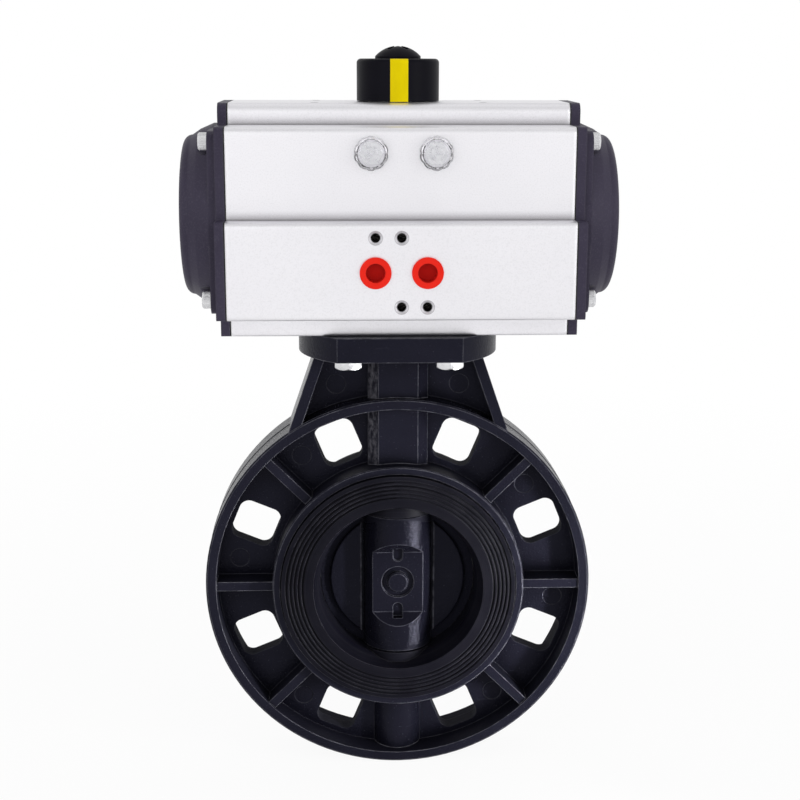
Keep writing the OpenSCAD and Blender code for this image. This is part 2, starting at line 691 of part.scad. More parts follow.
module stop_caps() color(clear) for (s = [-1, 1]) translate([stop_off + s * stop_x, -body_y, az + stop_z])
    rotate([90, 0, 0]) difference() {
        union() {
            cylinder(d = stop_cap_d, h = 4.5, $fn = 10);
            rotate([0, 0, 18]) cylinder(d = stop_cap_d - 1.6, h = 7.4, $fn = 10);
        }
        translate([0, 0, -1]) cylinder(d = stop_cap_d - 3.4, h = 7.2);
    }

module port_plugs() color(red) for (s = [-1, 1]) translate([s * port_gap / 2, 0, port_z]) difference() {
    union() {
        rod_y(7.3, -face_y - 1.2, 1.2);
        rod_y(port_d / 2, -face_y - 0.5, 9);
    }
    rod_y(4.5, -face_y - 2, 8);
}

valve_body();
seat_liner();
upper_stem_bush();
lower_stem_bush();
mounting_bolts();
disc();
disc_pin();
pin_plugs();
valve_stem();
stem_seals();
stem_clip();
drive_adaptor();
actuator_body();
left_end_cap();
right_end_cap();
left_cap_gasket();
right_cap_gasket();
left_cap_screws();
right_cap_screws();
left_piston();
right_piston();
left_guide_ring();
right_guide_ring();
left_piston_seal();
right_piston_seal();
left_rack_pad();
right_rack_pad();
pinion();
stop_cam();
lower_pinion_bearing();
upper_pinion_bearing();
lower_pinion_seal();
upper_pinion_seal();
thrust_washer();
pinion_clip();
indicator_housing();
indicator_stripes();
indicator_screw();
stop_bolts();
stop_nuts();
stop_caps();
port_plugs();
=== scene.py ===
"""Finishes, small fittings, light and camera for a wafer butterfly valve with its air actuator.

Metres throughout. The pipe runs along Y, the stem along Z, and the viewer stands at -Y.
"""
import bpy
import math
from mathutils import Matrix, Vector


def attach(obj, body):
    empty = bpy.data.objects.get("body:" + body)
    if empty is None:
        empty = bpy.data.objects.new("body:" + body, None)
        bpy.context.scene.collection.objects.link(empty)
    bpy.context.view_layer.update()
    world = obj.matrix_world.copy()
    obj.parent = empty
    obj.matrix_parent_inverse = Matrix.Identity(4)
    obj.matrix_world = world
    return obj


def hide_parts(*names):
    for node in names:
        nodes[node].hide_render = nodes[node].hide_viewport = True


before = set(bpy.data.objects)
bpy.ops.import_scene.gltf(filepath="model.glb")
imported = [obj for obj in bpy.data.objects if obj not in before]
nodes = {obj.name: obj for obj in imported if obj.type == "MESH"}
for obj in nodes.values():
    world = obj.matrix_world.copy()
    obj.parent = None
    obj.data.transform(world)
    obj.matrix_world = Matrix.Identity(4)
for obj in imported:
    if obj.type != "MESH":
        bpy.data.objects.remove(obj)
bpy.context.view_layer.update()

# Sizes shared with the solids
BORE_Z = 0.1877          # height of the actuator's bore axis
PANEL_Y = -0.046         # upper front panel of the actuator
FACE_Y = -0.057          # solenoid face of the actuator
HOLES = ((-0.012, 0.183), (0, 0.183), (0, 0.151), (0.012, 0.151))   # X and Z of its small tapped holes
STOP_Z = 0.2207          # height of the two stop bolts
STOP_MIDDLE_X = 0.0012   # halfway between them
STOP_OFFSET_X = 0.015    # from there to each
SCREW_SEAT_X = 0.0890    # where the cap screw heads sit
SCREW_Y = 0.030          # cap screws, from the bore axis
SCREW_Z = 0.0372
FLANGE_Z = 0.121         # underside of the valve's top flange
BOLT_CIRCLE = 0.070      # bolts through the top flange
FLOOR_Z = -0.0983        # just under the valve's ring

# Zones of a finish: where it begins, is full, fades and ends
POCKETS = (0.0630, 0.0645, 0.0945, 0.0960)      # pockets of the ring, from the pipe's axis
DISC_RIM = (0.0346, 0.0352, 0.0410, 0.0420)     # rim of the disc, from the pipe's axis
FACE_EDGES = (0.0182, 0.0185, 0.0189, 0.0194)   # where the disc's raised faces begin, from the stem's axis: a painted highlight line there
NECK = (0.052, 0.060, 0.1195, 0.1205)           # neck of the body, in height
THREAD_SHADE = (0.0008, 0.0011, 0.0145, 0.0150)      # painted shade in the threads of the small holes, in depth
RIM_RINGS = (0.0029, 0.0031, 0.0033, 0.0035)        # thin darker rings round the rims of the small holes, from their axes
WEB = (0.0046, 0.0056)      # just off the web's faces, from its middle: edges inside get less of the lighter edge colour

# Turns that lay a cylinder along an axis
ALONG_X = (0, math.pi / 2, 0)
ALONG_Y = (math.pi / 2, 0, 0)
UPRIGHT = (0, 0, 0)


# Shader trees

class Wire:
    """An output of a node. Arithmetic on it adds Math nodes to its tree."""

    def __init__(self, finish, socket):
        self.finish, self.socket = finish, socket

    def work(self, operation, first, second):
        return self.finish.add("ShaderNodeMath", {"operation": operation}, {0: first, 1: second})

    def size(self):
        return self.work("ABSOLUTE", self, 0)

    def __add__(self, other):
        return self.work("ADD", self, other)

    def __radd__(self, other):
        return self.work("ADD", other, self)

    def __sub__(self, other):
        return self.work("SUBTRACT", self, other)

    def __rsub__(self, other):
        return self.work("SUBTRACT", other, self)

    def __mul__(self, other):
        return self.work("MULTIPLY", self, other)

    def __rmul__(self, other):
        return self.work("MULTIPLY", other, self)


class Finish:
    """A shader tree being wired up."""

    def __init__(self, tree):
        self.tree = tree
        tree.nodes.clear()

    def add(self, kind, settings=None, sockets=None, out=0):
        """One node: its settings are set first, then its sockets get values or links."""
        node = self.tree.nodes.new(kind)
        for name, value in (settings or {}).items():
            setattr(node, name, value)
        for name, value in (sockets or {}).items():
            if isinstance(value, Wire):
                self.tree.links.new(value.socket, node.inputs[name])
            else:
                node.inputs[name].default_value = value
        return Wire(self, node.outputs[out]) if node.outputs else None

    # Patterns on the piece's own place

    def place(self):
        return self.add("ShaderNodeTexCoord", out="Object")

    def cloud(self, scale, detail=3.0, roughness=0.55, stretch=None):
        """Noise, drawn out along the axes whose stretch is small."""
        place = self.place()
        if stretch:
            place = self.add("ShaderNodeMapping", None, {"Vector": place, "Scale": stretch})
        return self.add("ShaderNodeTexNoise", None, {
            "Vector": place, "Scale": scale, "Detail": detail, "Roughness": roughness})

    def axis(self, name):
        """The piece's own X, Y or Z."""
        return self.add("ShaderNodeSeparateXYZ", None, {"Vector": self.place()}, out=name)

    def vector(self, operation, first, second, out=0):
        return self.add("ShaderNodeVectorMath", {"operation": operation}, {0: first, 1: second}, out=out)

    def ramp(self, value, low, high, start=0.0, end=1.0):
        return self.add("ShaderNodeMapRange", {"clamp": True}, {
            "Value": value, "From Min": low, "From Max": high, "To Min": start, "To Max": end})

    def spread(self, pattern):
        """The middle of a noise pattern, drawn out to the range 0 to 1."""
        return self.ramp(pattern, 0.3, 0.7)

    def band(self, value, begins, full, fades, ends):
        """1 inside a zone and 0 outside it."""
        return self.ramp(value, begins, full) * self.ramp(value, ends, fades)

    def ray(self, kind):
        """1 for one kind of ray and 0 for the others."""
        return self.add("ShaderNodeLightPath", out=f"Is {kind} Ray")

    def tint(self, factor, first, second):
        return self.add("ShaderNodeMix", {"data_type": "RGBA"}, {0: factor, 6: first, 7: second}, out=2)

    # Edges and relief

    def soft_edge(self, radius):
        return self.add("ShaderNodeBevel", {"samples": 6}, {"Radius": radius})

    def facing(self, way):
        """How far the surface faces a way: 1 straight at it, 0 square to it."""
        flat = self.add("ShaderNodeNewGeometry", out="Normal")
        return self.vector("DOT_PRODUCT", flat, way, "Value")

    def edge_mask(self, soft, start=0.985, full=0.80):
        """Where the softened normal leaves the true one: the piece's edges."""
        return self.ramp(self.facing(soft), start, full)

    def painted_corner_shade(self, reach):
        """Painted shade where faces of the piece meet in a hollow: darker the more closed in it is."""
        open_sky = self.add("ShaderNodeAmbientOcclusion", {"samples": 8, "only_local": True},
                            {"Distance": reach}, out="AO")
        return self.ramp(open_sky, 0.97, 0.45)

    def relief(self, height, distance, strength, normal):
        return self.add("ShaderNodeBump", None, {
            "Strength": strength, "Distance": distance, "Height": height, "Normal": normal})

    def across(self):
        """The place seen along the pipe."""
        return self.vector("MULTIPLY", self.place(), (1, 0, 1))

    def from_axis(self):
        """Distance from the pipe's axis."""
        return self.vector("DISTANCE", self.across(), (0, 0, 0), "Value")

    def dull_walls(self):
        """Walls of the pockets and windows round the collar, and the disc's rim, left dull by the mould."""
        away = self.from_axis()
        steep = self.ramp(self.facing((0, 1, 0)).size(), 0.5, 0.3)
        return steep * self.band(away, *POCKETS) + self.band(away, *DISC_RIM)

    def from_holes(self):
        """Distance from the nearest small hole in the solenoid face, seen from the front."""
        across = self.across()
        nearest = 1.0
        for x, z in HOLES:
            away = self.vector("DISTANCE", across, (x, 0, z), "Value")
            nearest = away.work("MINIMUM", away, nearest)
        return nearest

    def painted_thread_shade(self, nearest):
        """Painted shade in the threads of the small holes."""
        depth = self.axis("Y") - FACE_Y
        return self.ramp(nearest, 0.0024, 0.0022) * self.band(depth, *THREAD_SHADE)

    def close(self, sockets):
        shader = self.add("ShaderNodeBsdfPrincipled", None, sockets)
        self.add("ShaderNodeOutputMaterial", None, {"Surface": shader})


def new_finish(name):
    material = bpy.data.materials.new(name)
    material.use_nodes = True
    return material, Finish(material.node_tree)


def rgb(red, green, blue):
    return (red, green, blue, 1.0)


def moulded_upvc(name, deep, pale, worn, shine, grain, marks):
    """Glossy blue-black pipe plastic: flow, specks, scuffs, dull walls, painted shade in its hollows,
    lighter edges that are partly wear and partly painted highlight, and dust with painted light on the
    left-facing chamfers of the neck.

    With marks it also has tool marks, and a painted highlight line where the disc's raised faces begin.
    """
    material, f = new_finish(name)
    flow = f.cloud(26, 4)
    specks = f.ramp(f.cloud(1300, 1), 0.715, 0.76)
    scuffs = f.ramp(f.cloud(55, 7, 0.75, (1.0, 1.0, 5.0)), 0.60, 0.74)
    soft = f.soft_edge(0.0007)
    side, depth = f.axis("X").size(), f.axis("Y").size()
    proud = f.ramp(depth, *WEB, 0.25, 1.0)
    edge_breakup = f.ramp(f.cloud(150, 4, 0.7), 0.38, 0.62, 0.25, 1.0)
    # Painted highlight: a light line where the disc's raised faces begin.
    face_edge_highlight = f.band(side, *FACE_EDGES) * f.ramp(depth, 0.0030, 0.0034)
    edge = (f.edge_mask(soft, 0.9975, 0.94) * proud + marks * face_edge_highlight) * edge_breakup
    walls = f.dull_walls()
    # Left-front-facing chamfers of the neck are lighter: dust, and painted light on the side facing the
    # front-left.
    chamfer = f.ramp(f.facing((-math.sqrt(0.5), -math.sqrt(0.5), 0)), 0.93, 0.98)
    dust_and_lit_chamfer = chamfer * f.band(f.axis("Z"), *NECK)
    smear = f.cloud(420, 5, 0.7, (1.0, 1.0, 0.4))
    skin = f.cloud(780, 2) + 0.5 * f.cloud(2000, 2) + marks * f.cloud(1500, 3, 0.65, (0.22, 0.22, 1.0))
    dull = 0.10 * f.spread(flow) + 0.16 * scuffs + 0.2 * specks + 0.55 * walls
    colour = f.tint(f.ramp(flow, 0.35, 0.68), deep, pale)
    # Painted shade: the colour goes near-black where faces meet in a hollow.
    colour = f.tint(f.painted_corner_shade(0.014) * 0.55, colour, rgb(0.0018, 0.0018, 0.0034))
    # Lighter edges: partly wear, partly painted highlight along the edges and where the disc's faces begin.
    colour = f.tint(edge * 0.60, colour, worn)
    colour = f.tint(specks * 0.35 + scuffs * 0.08, colour, rgb(0.060, 0.060, 0.075))
    colour = f.tint(dust_and_lit_chamfer * f.ramp(smear, 0.44, 0.68, 0.04, 1.0), colour, rgb(0.120, 0.117, 0.135))
    f.close({"Base Color": colour,
             "Roughness": shine + dull,
             "Specular IOR Level": 0.10, "Specular Tint": rgb(0.74, 0.74, 1.0),
             "Normal": f.relief(skin, 0.0004, grain, soft)})
    return material


def liner_rubber():
    """Satin seat rubber with a faint bloom, fine mould grain and fine turned lines round the bore, painted
    shade in its grooves and painted highlight on its edges.
    """
    material, f = new_finish("liner_rubber")
    bloom = f.cloud(60, 5, 0.6)
    grain = f.cloud(2200, 2)
    turned = f.add("ShaderNodeTexNoise", {"noise_dimensions": "1D"},
                   {"W": f.from_axis() * 1300, "Scale": 1.0, "Detail": 3.0})
    soft = f.soft_edge(0.0005)
    edge = f.edge_mask(soft) * f.ramp(bloom, 0.40, 0.60, 0.35, 1.0)
    colour = f.tint(f.ramp(bloom, 0.35, 0.7), rgb(0.0034, 0.0033, 0.0062), rgb(0.0056, 0.0054, 0.0090))
    colour = f.tint(f.ramp(turned, 0.45, 0.72) * 0.35, colour, rgb(0.0130, 0.0127, 0.0165))
    # Painted shade: near-black in the grooves between the ridges.
    colour = f.tint(f.painted_corner_shade(0.0016) * 0.85, colour, rgb(0.0009, 0.0009, 0.0016))
    # Painted highlight: lighter edges on the ridges.
    colour = f.tint(edge * 0.50, colour, rgb(0.090, 0.088, 0.104))
    f.close({"Base Color": colour,
             "Roughness": 0.42 + 0.16 * f.spread(bloom),
             "Specular IOR Level": 0.05,
             "Normal": f.relief(grain + 1.5 * turned, 0.0003, 0.20, soft)})
    return material


def blasted_alloy():
    """Bead-blasted anodised extrusion: fine sparkle grain over faint die lines along X, with painted shade
    in its corners and in the threads of its small holes.
    """
    material, f = new_finish("blasted_alloy")
    grain = f.cloud(1500, 3, 0.65)
    lines = f.cloud(420, 3, 0.6, (0.012, 1.0, 1.0))
    stain = f.cloud(14, 4)
    nearest = f.from_holes()
    soft = f.soft_edge(f.ramp(nearest, 0.0045, 0.0075, 0.0001, 0.0020))
    edge = f.edge_mask(soft)
    colour = f.tint(f.spread(stain), rgb(0.86, 0.85, 0.882), rgb(0.895, 0.885, 0.915))
    colour = f.tint(f.ramp(grain, 0.48, 0.72) * 0.40, colour, rgb(0.70, 0.692, 0.715))
    colour = f.tint(edge * 0.20, colour, rgb(0.94, 0.935, 0.95))
    # Painted shade: dark grey in the concave corners, such as under the ledges.
    colour = f.tint(f.painted_corner_shade(0.0046) * 0.92, colour, rgb(0.24, 0.23, 0.245))
    # A thin darker ring round the rim of each small hole, on the front-facing surface.
    rim_ring = f.band(nearest, *RIM_RINGS) * f.ramp(f.facing((0, -1, 0)), 0.3, 0.5)
    colour = f.tint(rim_ring * 0.5, colour, rgb(0.30, 0.29, 0.31))
    # Painted shade: the small holes go dark inside, with grey streaks.
    thread_shade = f.painted_thread_shade(nearest)
    turns = f.ramp(f.cloud(1500, 3, 0.6, (0.5, 1.0, 1.6)), 0.46, 0.60)
    colour = f.tint(thread_shade, colour, f.tint(turns, rgb(0.018, 0.017, 0.018), rgb(0.105, 0.098, 0.092)))
    dull = 0.08 * f.spread(lines) + 0.05 * f.spread(stain) + 0.15 * thread_shade
    f.close({"Base Color": colour, "Metallic": 1.0,
             "Roughness": 0.37 + dull,
             "Normal": f.relief(grain + 0.5 * lines, 0.0002, 0.22, soft)})
    return material


def cast_alloy():
    """Die-cast piston alloy, duller than the body."""
    material, f = new_finish("cast_alloy")
    skin = f.cloud(500, 4, 0.6)
    soft = f.soft_edge(0.0005)
    colour = f.tint(f.spread(skin), rgb(0.60, 0.60, 0.61), rgb(0.72, 0.72, 0.73))
    f.close({"Base Color": colour, "Metallic": 1.0,
             "Roughness": 0.36 + 0.16 * f.spread(skin),
             "Normal": f.relief(skin, 0.0004, 0.15, soft)})
    return material


def powder_coat():
    """Black powder coat on the end caps: orange peel, faint bloom, thin edges."""
    material, f = new_finish("powder_coat")
    peel = f.cloud(1200, 3, 0.6)
    bloom = f.cloud(38, 4)
    soft = f.soft_edge(0.0012)
    edge = f.edge_mask(soft)
    colour = f.tint(f.spread(bloom), rgb(0.0325, 0.0268, 0.0490), rgb(0.0430, 0.0362, 0.0625))
    colour = f.tint(f.ramp(peel, 0.52, 0.72) * 0.50, colour, rgb(0.072, 0.064, 0.096))
    colour = f.tint(edge * 0.30, colour, rgb(0.105, 0.098, 0.128))
    f.close({"Base Color": colour,
             "Roughness": 0.42 + 0.12 * f.spread(bloom),
             "Specular IOR Level": 0.18,
             "Normal": f.relief(peel, 0.0005, 0.22, soft)})
    return material


def plated_steel():
    """Bright zinc plate on bolts, screws and nuts."""
    material, f = new_finish("plated_steel")
    bloom = f.cloud(420, 4, 0.6)
    soft = f.soft_edge(0.0003)
    colour = f.tint(f.spread(bloom), rgb(0.66, 0.66, 0.68), rgb(0.82, 0.82, 0.83))
    f.close({"Base Color": colour, "Metallic": 1.0,
             "Roughness": 0.20 + 0.22 * f.spread(bloom),
             "Normal": f.relief(bloom, 0.0003, 0.10, soft)})
    return material


def ground_steel():
    """Turned and ground shafts and gears, with fine marks round the stem axis."""
    material, f = new_finish("ground_steel")
    marks = f.cloud(900, 3, 0.6, (0.05, 0.05, 1.0))
    film = f.cloud(90, 4)
    soft = f.soft_edge(0.0003)
    colour = f.tint(f.spread(film), rgb(0.56, 0.565, 0.58), rgb(0.68, 0.685, 0.70))
    f.close({"Base Color": colour, "Metallic": 1.0,
             "Roughness": 0.24 + 0.16 * f.spread(marks),
             "Normal": f.relief(marks, 0.0002, 0.12, soft)})
    return material


def indicator_black():
    """Satin black ABS of the position indicator."""
    material, f = new_finish("indicator_black")
    grain = f.cloud(1900, 2, 0.5)
    flow = f.cloud(70, 4)
    soft = f.soft_edge(0.0006)
    edge = f.edge_mask(soft)
    colour = f.tint(f.spread(flow), rgb(0.0026, 0.0024, 0.0050), rgb(0.0044, 0.0040, 0.0078))
    colour = f.tint(edge * 0.35, colour, rgb(0.026, 0.025, 0.034))
    f.close({"Base Color": colour,
             "Roughness": 0.34 + 0.12 * f.spread(flow),
             "Specular IOR Level": 0.06,
             "Normal": f.relief(grain, 0.0003, 0.14, soft)})
    return material


def coloured_plastic(name, deep, bright, worn, shaded, shine):
    """Injection-moulded colour with slight streaks, lighter edges and painted shade in its hollows."""
    material, f = new_finish(name)
    streak = f.cloud(120, 4, 0.6, (1.0, 1.0, 0.35))
    grain = f.cloud(1700, 2)
    soft = f.soft_edge(0.0004)
    edge = f.edge_mask(soft)
    colour = f.tint(f.spread(streak), deep, bright)
    colour = f.tint(edge * 0.25, colour, worn)
    # Painted shade: the shaded colour in hollows and recesses.
    colour = f.tint(f.painted_corner_shade(0.006) * 0.8, colour, shaded)
    f.close({"Base Color": colour,
             "Roughness": shine + 0.10 * f.spread(streak),
             "Specular IOR Level": 0.05,
             "Normal": f.relief(grain, 0.0003, 0.10, soft)})
    return material


def clear_cap_plastic():
    """Clear moulded plastic with faint waves and a slightly hazed skin."""
    material, f = new_finish("clear_cap_plastic")
    waves = f.cloud(220, 3)
    colour = f.tint(f.spread(waves), rgb(0.90, 0.90, 0.915), rgb(0.97, 0.97, 0.975))
    f.close({"Base Color": colour,
             "Roughness": 0.04 + 0.10 * f.ramp(waves, 0.4, 0.7),
             "IOR": 1.22, "Transmission Weight": 1.0,
             "Normal": f.add("ShaderNodeBump", None, {
                 "Strength": 0.12, "Distance": 0.0008, "Height": waves})})
    return material


def bearing_acetal():
    """White bearing plastic."""
    material, f = new_finish("bearing_acetal")
    flow = f.cloud(110, 4)
    soft = f.soft_edge(0.0003)
    colour = f.tint(f.spread(flow), rgb(0.70, 0.685, 0.635), rgb(0.80, 0.785, 0.735))
    f.close({"Base Color": colour,
             "Roughness": 0.38 + 0.14 * f.spread(flow),
             "Normal": f.relief(f.cloud(1500, 2), 0.0003, 0.08, soft)})
    return material


def seal_rubber():
    """Matt black nitrile of the gaskets and O-rings."""
    material, f = new_finish("seal_rubber")
    grain = f.cloud(1500, 3)
    colour = f.tint(f.spread(grain), rgb(0.0060, 0.0060, 0.0065), rgb(0.0130, 0.0130, 0.0140))
    f.close({"Base Color": colour,
             "Roughness": 0.52 + 0.18 * f.spread(grain),
             "Specular IOR Level": 0.35,
             "Normal": f.relief(grain, 0.0003, 0.15, f.soft_edge(0.0002))})
    return material


upvc = moulded_upvc("moulded_upvc", rgb(0.0072, 0.0072, 0.0126), rgb(0.0100, 0.0100, 0.0170),
                    rgb(0.230, 0.230, 0.262), 0.17, 0.45, 0.0)
# The disc's copy of the plastic is glossier and has tool marks; its darker colour is painted shade, for the
# disc sits deep in the ring.
shaded_disc_upvc = moulded_upvc("shaded_disc_upvc", rgb(0.0040, 0.0040, 0.0072), rgb(0.0058, 0.0058, 0.0102),
                         rgb(0.150, 0.150, 0.180), 0.04, 0.55, 1.0)
rubber = liner_rubber()
alloy = blasted_alloy()
casting = cast_alloy()
coat = powder_coat()
plate = plated_steel()
steel = ground_steel()
black = indicator_black()
yellow = coloured_plastic("indicator_yellow", rgb(0.74, 0.575, 0.0), rgb(0.83, 0.66, 0.0),
                          rgb(0.88, 0.74, 0.03), rgb(0.55, 0.42, 0.0), 0.36)
red = coloured_plastic("plug_red", rgb(0.80, 0.020, 0.011), rgb(0.90, 0.028, 0.016),
                       rgb(0.93, 0.08, 0.06), rgb(0.54, 0.013, 0.011), 0.34)
clear = clear_cap_plastic()
acetal = bearing_acetal()
seal = seal_rubber()

dressed = {
    upvc: ["valve_body"],
    shaded_disc_upvc: ["disc", "pin_plugs"],
    rubber: ["seat_liner"],
    alloy: ["actuator_body"],
    casting: ["left_piston", "right_piston"],
    coat: ["left_end_cap", "right_end_cap"],
    plate: ["mounting_bolts", "left_cap_screws", "right_cap_screws", "stop_bolts", "stop_nuts", "stem_clip",
            "pinion_clip", "disc_pin"],
    steel: ["valve_stem", "drive_adaptor", "pinion", "stop_cam"],
    black: ["indicator_housing", "indicator_screw"],
    yellow: ["indicator_stripes"],
    red: ["port_plugs"],
    clear: ["stop_caps"],
    acetal: ["upper_stem_bush", "lower_stem_bush", "left_guide_ring", "right_guide_ring", "left_rack_pad",
             "right_rack_pad", "lower_pinion_bearing", "upper_pinion_bearing", "thrust_washer"],
    seal: ["stem_seals", "left_cap_gasket", "right_cap_gasket", "left_piston_seal", "right_piston_seal",
           "lower_pinion_seal", "upper_pinion_seal"],
}
for material, names in dressed.items():
    for name in names:
        for slot in nodes[name].material_slots:
            slot.material = material


# Small fittings

def object_mode():
    bpy.ops.object.mode_set(mode="OBJECT")


def begin():
    """Object mode, with nothing selected."""
    if bpy.context.object and bpy.context.object.mode != "OBJECT":
        object_mode()
    bpy.ops.object.select_all(action="DESELECT")


def take(piece):
    """Makes the piece the only one selected, and the active one."""
    begin()
    piece.select_set(True)
    bpy.context.view_layer.objects.active = piece


def settle():
    """Puts the active piece's place into its mesh."""
    bpy.ops.object.transform_apply(location=True, rotation=True, scale=True)
    return bpy.context.object


def cylinder(sides, radius, length, centre, turn=UPRIGHT):
    bpy.ops.mesh.primitive_cylinder_add(vertices=sides, radius=radius, depth=length, location=centre,
                                        rotation=turn)
    return settle()


def draw_out(move, size, centre):
    """Draws the selected faces out by a move, then scales them about a centre."""
    bpy.ops.mesh.extrude_region_move(TRANSFORM_OT_translate={"value": move})
    bpy.ops.transform.resize(value=size, center_override=centre)


def pick(piece, kind, test):
    """Edit mode, with only the points or faces that pass the test selected."""
    bpy.ops.object.mode_set(mode="EDIT")
    bpy.ops.mesh.select_mode(type=kind)
    bpy.ops.mesh.select_all(action="DESELECT")
    object_mode()
    for part in piece.data.vertices if kind == "VERT" else piece.data.polygons:
        part.select = test(part)
    bpy.ops.object.mode_set(mode="EDIT")


def combine(piece, tool, operation):
    """Cuts, joins or trims the piece with a tool shape, which is then removed."""
    change = piece.modifiers.new("cut", "BOOLEAN")
    change.operation, change.solver, change.object = operation, "EXACT", tool
    take(piece)
    bpy.ops.object.modifier_apply(modifier=change.name)
    bpy.data.objects.remove(tool, do_unlink=True)


def break_edges(piece, width, angle=35):
    """A small round on every sharp edge, then smooth shading."""
    change = piece.modifiers.new("edges", "BEVEL")
    change.width, change.segments, change.limit_method = width, 2, "ANGLE"
    change.angle_limit = math.radians(angle)
    bpy.ops.object.modifier_apply(modifier=change.name)
    bpy.ops.object.shade_smooth_by_angle(angle=math.radians(40))


def copies(piece, moves):
    """Copies of the piece, one for each move, joined into one. The piece itself is removed."""
    made = []
    for move in moves:
        take(piece)
        bpy.ops.object.duplicate()
        bpy.context.object.location = move
        made.append(settle())
    bpy.data.objects.remove(piece, do_unlink=True)
    begin()
    for one in made:
        one.select_set(True)
    bpy.context.view_layer.objects.active = made[0]
    bpy.ops.object.join()
    return bpy.context.object


def finish_piece(piece, name, material, node):
    """Names the piece, gives it its material and puts it in the place of a node of the housing."""
    piece.name = piece.data.name = name
    piece.data.materials.clear()
    piece.data.materials.append(material)
    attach(piece, "housing")
    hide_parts(node)


def fluted_stop_cap():
    """Clear cap over a stop bolt: ten-fluted skirt, round top, hollow behind."""
    flutes = 10
    skirt_r, skirt_h = 0.0079, 0.0046
    hollow_r, hollow_depth, overlap = 0.0062, 0.0062, 0.001
    centre = (0, PANEL_Y - skirt_h / 2, STOP_Z)
    begin()
    cap = cylinder(8 * flutes, skirt_r, skirt_h, centre, ALONG_Y)

    def flute(point):
        return math.cos(flutes * math.atan2(point.co.x, point.co.z - STOP_Z))

    for limit, size in ((0.35, 0.985), (-0.25, 0.975), (-0.75, 0.975)):
        pick(cap, "VERT", lambda point: flute(point) < limit)
        bpy.ops.transform.resize(value=(size, 1, size), center_override=centre)
        object_mode()
    pick(cap, "FACE", lambda face: face.normal.y < -0.9)
    bpy.ops.mesh.inset(thickness=0.0005)
    draw_out((0, -0.0022, 0), (0.95, 1, 0.95), centre)
    draw_out((0, -0.0005, 0), (0.90, 1, 0.90), centre)
    bpy.ops.mesh.inset(thickness=0.0012)
    bpy.ops.transform.translate(value=(0, -0.0001, 0))
    object_mode()
    middle = (0, PANEL_Y - (hollow_depth - overlap) / 2, STOP_Z)
    combine(cap, cylinder(48, hollow_r, hollow_depth + overlap, middle, ALONG_Y), "DIFFERENCE")
    break_edges(cap, 0.00025)
    return cap


def socket_screw():
    """Socket head screw of the right end cap: knurled head, hexagon socket, shank."""
    ridges = 36
    head_r, knurl_h, chamfer_h = 0.00425, 0.0043, 0.0007
    socket_r, socket_depth = 0.0023, 0.0026
    shank_l = 0.0205
    axis = (0, 0, BORE_Z)
    begin()
    screw = cylinder(2 * ridges, head_r, knurl_h, (SCREW_SEAT_X + knurl_h / 2, 0, BORE_Z), ALONG_X)

    def groove(point):
        return math.cos(ridges * math.atan2(point.co.y, point.co.z - BORE_Z)) < 0

    pick(screw, "VERT", groove)
    bpy.ops.transform.resize(value=(1, 0.95, 0.95), center_override=axis)
    object_mode()
    pick(screw, "FACE", lambda face: face.normal.x > 0.9)
    draw_out((chamfer_h, 0, 0), (1, 0.84, 0.84), axis)
    object_mode()
    pick(screw, "FACE", lambda face: face.normal.x < -0.9)
    bpy.ops.mesh.inset(thickness=0.0018)
    draw_out((-shank_l, 0, 0), (1, 0.9, 0.9), axis)
    object_mode()
    top = (SCREW_SEAT_X + knurl_h + chamfer_h, 0, BORE_Z)
    combine(screw, cylinder(6, socket_r, 2 * socket_depth, top, ALONG_X), "DIFFERENCE")
    bpy.ops.object.shade_smooth_by_angle(angle=math.radians(28))
    return screw


def hex_bolt():
    """Mounting bolt under the top flange: chamfered hexagon head and shank."""
    across_flats, head_h = 0.013, 0.0053
    trim_r, trim_chamfer = 0.0076, 0.0011
    shank_r, shank_l, shank_chamfer, overlap = 0.004, 0.024, 0.0008, 0.0005
    middle = (0, 0, FLANGE_Z - head_h / 2)
    begin()
    bolt = cylinder(6, across_flats / 2 / math.cos(math.pi / 6), head_h, middle)
    trim = cylinder(72, trim_r, head_h, middle)
    pick(trim, "FACE", lambda face: face.normal.z < -0.9)
    bpy.ops.mesh.bevel(offset=trim_chamfer, segments=1, affect="EDGES")
    object_mode()
    combine(bolt, trim, "INTERSECT")
    shank = cylinder(48, shank_r, shank_l + overlap, (0, 0, FLANGE_Z + (shank_l - overlap) / 2))
    pick(shank, "FACE", lambda face: face.normal.z > 0.9)
    bpy.ops.mesh.bevel(offset=shank_chamfer, segments=1, affect="EDGES")
    object_mode()
    combine(bolt, shank, "UNION")
    break_edges(bolt, 0.00015, 25)
    return bolt


stop_caps = copies(fluted_stop_cap(), [(STOP_MIDDLE_X + side * STOP_OFFSET_X, 0, 0) for side in (-1, 1)])
finish_piece(stop_caps, "fluted_stop_caps", clear, "stop_caps")

right_screws = copies(socket_screw(), [(0, y * SCREW_Y, z * SCREW_Z) for y in (-1, 1) for z in (-1, 1)])
take(right_screws)
bpy.ops.object.duplicate()
left_screws = bpy.context.object
left_screws.rotation_euler = (0, 0, math.pi)
settle()
finish_piece(right_screws, "right_socket_screws", plate, "right_cap_screws")
finish_piece(left_screws, "left_socket_screws", plate, "left_cap_screws")

bolt_xy = BOLT_CIRCLE / 2 / math.sqrt(2)
bolts = copies(hex_bolt(), [(x * bolt_xy, y * bolt_xy, 0) for x in (-1, 1) for y in (-1, 1)])
finish_piece(bolts, "flange_hex_bolts", plate, "mounting_bolts")


# Floor, light and camera

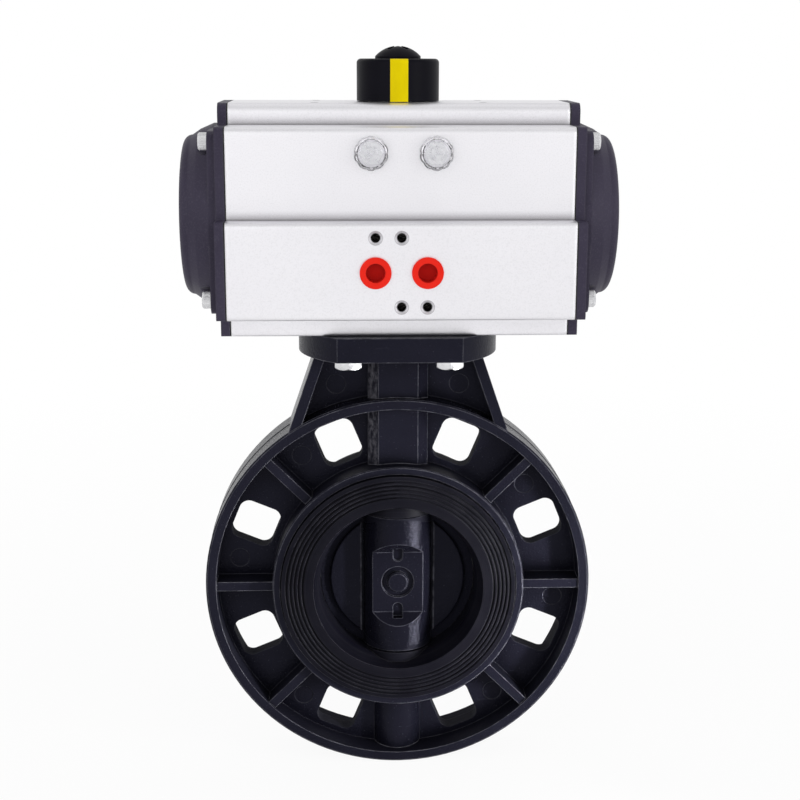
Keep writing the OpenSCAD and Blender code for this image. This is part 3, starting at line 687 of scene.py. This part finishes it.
def studio_floor():
    begin()
    bpy.ops.mesh.primitive_grid_add(x_subdivisions=4, y_subdivisions=4, size=12, location=(0, 0, FLOOR_Z))
    floor = settle()
    floor.name = floor.data.name = "studio_floor"
    material, f = new_finish("floor_paper")
    grain = f.cloud(9, 3)
    paper = f.add("ShaderNodeBsdfDiffuse", None, {
        "Color": f.tint(f.spread(grain), rgb(0.86, 0.86, 0.865), rgb(0.88, 0.88, 0.885))})
    white = f.add("ShaderNodeEmission", None, {"Color": rgb(1, 1, 1), "Strength": 1.0})
    reach = f.vector("DISTANCE", f.place(), (0, 0, 0), "Value")
    shown = f.ramp(reach, 0.25, 0.9, 0.93, 1.0) * (f.ray("Camera") + f.ray("Transmission"))
    both = f.add("ShaderNodeMixShader", None, {0: shown + 0.5 * f.ray("Glossy"), 1: paper, 2: white})
    f.add("ShaderNodeOutputMaterial", None, {"Surface": both})
    floor.data.materials.append(material)


def studio_world():
    world = bpy.data.worlds.new("studio")
    bpy.context.scene.world = world
    world.use_nodes = True
    f = Finish(world.node_tree)
    way = f.add("ShaderNodeTexCoord", out="Generated")
    up = f.add("ShaderNodeSeparateXYZ", None, {"Vector": way}, out="Z")
    walls = f.ramp(up, 0.0, 1.0, 0.92, 0.62)
    mirrored = f.ramp(up, 0.0, 0.8, 0.16, 0.0) * f.ray("Glossy")
    shown = (1.0 - walls) * (f.ray("Camera") + f.ray("Transmission"))
    light = f.add("ShaderNodeBackground", None, {
        "Color": rgb(1, 1, 1), "Strength": walls + mirrored + shown})
    f.add("ShaderNodeOutputWorld", None, {"Surface": light})


def softbox(name, place, aim, width, height, power, spread=180):
    """An area lamp in watts, turned to its aim and hidden from the camera."""
    lamp = bpy.data.lights.new(name, "AREA")
    lamp.shape, lamp.size, lamp.size_y, lamp.energy = "RECTANGLE", width, height, power
    lamp.spread = math.radians(spread)
    box = bpy.data.objects.new(name, lamp)
    bpy.context.scene.collection.objects.link(box)
    box.location = place
    box.visible_camera = False
    box.rotation_euler = (Vector(aim) - Vector(place)).to_track_quat("-Z", "Y").to_euler()


def photo_camera():
    """Camera fitted to the photograph, its angles in radians."""
    place = (-0.02466, -0.71969, 0.26587)
    yaw, pitch, roll = 0.03617, 0.23491, -0.00217
    focal, picture = 1456.73, 800      # focal length and picture width in pixels
    sensor = 36                        # millimetres
    ahead = Vector((math.sin(yaw) * math.cos(pitch), math.cos(yaw) * math.cos(pitch), -math.sin(pitch)))
    right = Vector((math.cos(yaw), -math.sin(yaw), 0))
    up = right.cross(ahead)
    side = math.cos(roll) * right - math.sin(roll) * up
    top = math.sin(roll) * right + math.cos(roll) * up
    lens = bpy.data.cameras.new("photo_camera")
    lens.sensor_width, lens.lens = sensor, sensor * focal / picture
    lens.clip_start, lens.clip_end = 0.01, 100
    camera = bpy.data.objects.new("photo_camera", lens)
    bpy.context.scene.collection.objects.link(camera)
    turn = Matrix((side, top, -ahead)).transposed().to_4x4()
    camera.matrix_world = Matrix.Translation(place) @ turn
    bpy.context.scene.camera = camera


studio_floor()
studio_world()
softbox("key_softbox", (-1.00, -1.35, 0.50), (0, 0, 0.10), 1.2, 1.2, 3.3)
softbox("side_strip", (0.195, -0.123, -0.040), (0, -0.014, 0.0), 0.016, 0.11, 0.15, 60)
softbox("right_softbox", (1.25, -1.05, 0.45), (0, 0, 0.10), 0.9, 1.1, 5.1)
softbox("top_softbox", (0.1, 0.15, 1.45), (0, 0, 0.1), 1.2, 0.9, 1.0)
photo_camera()

bpy.context.scene.view_settings.view_transform = "Standard"
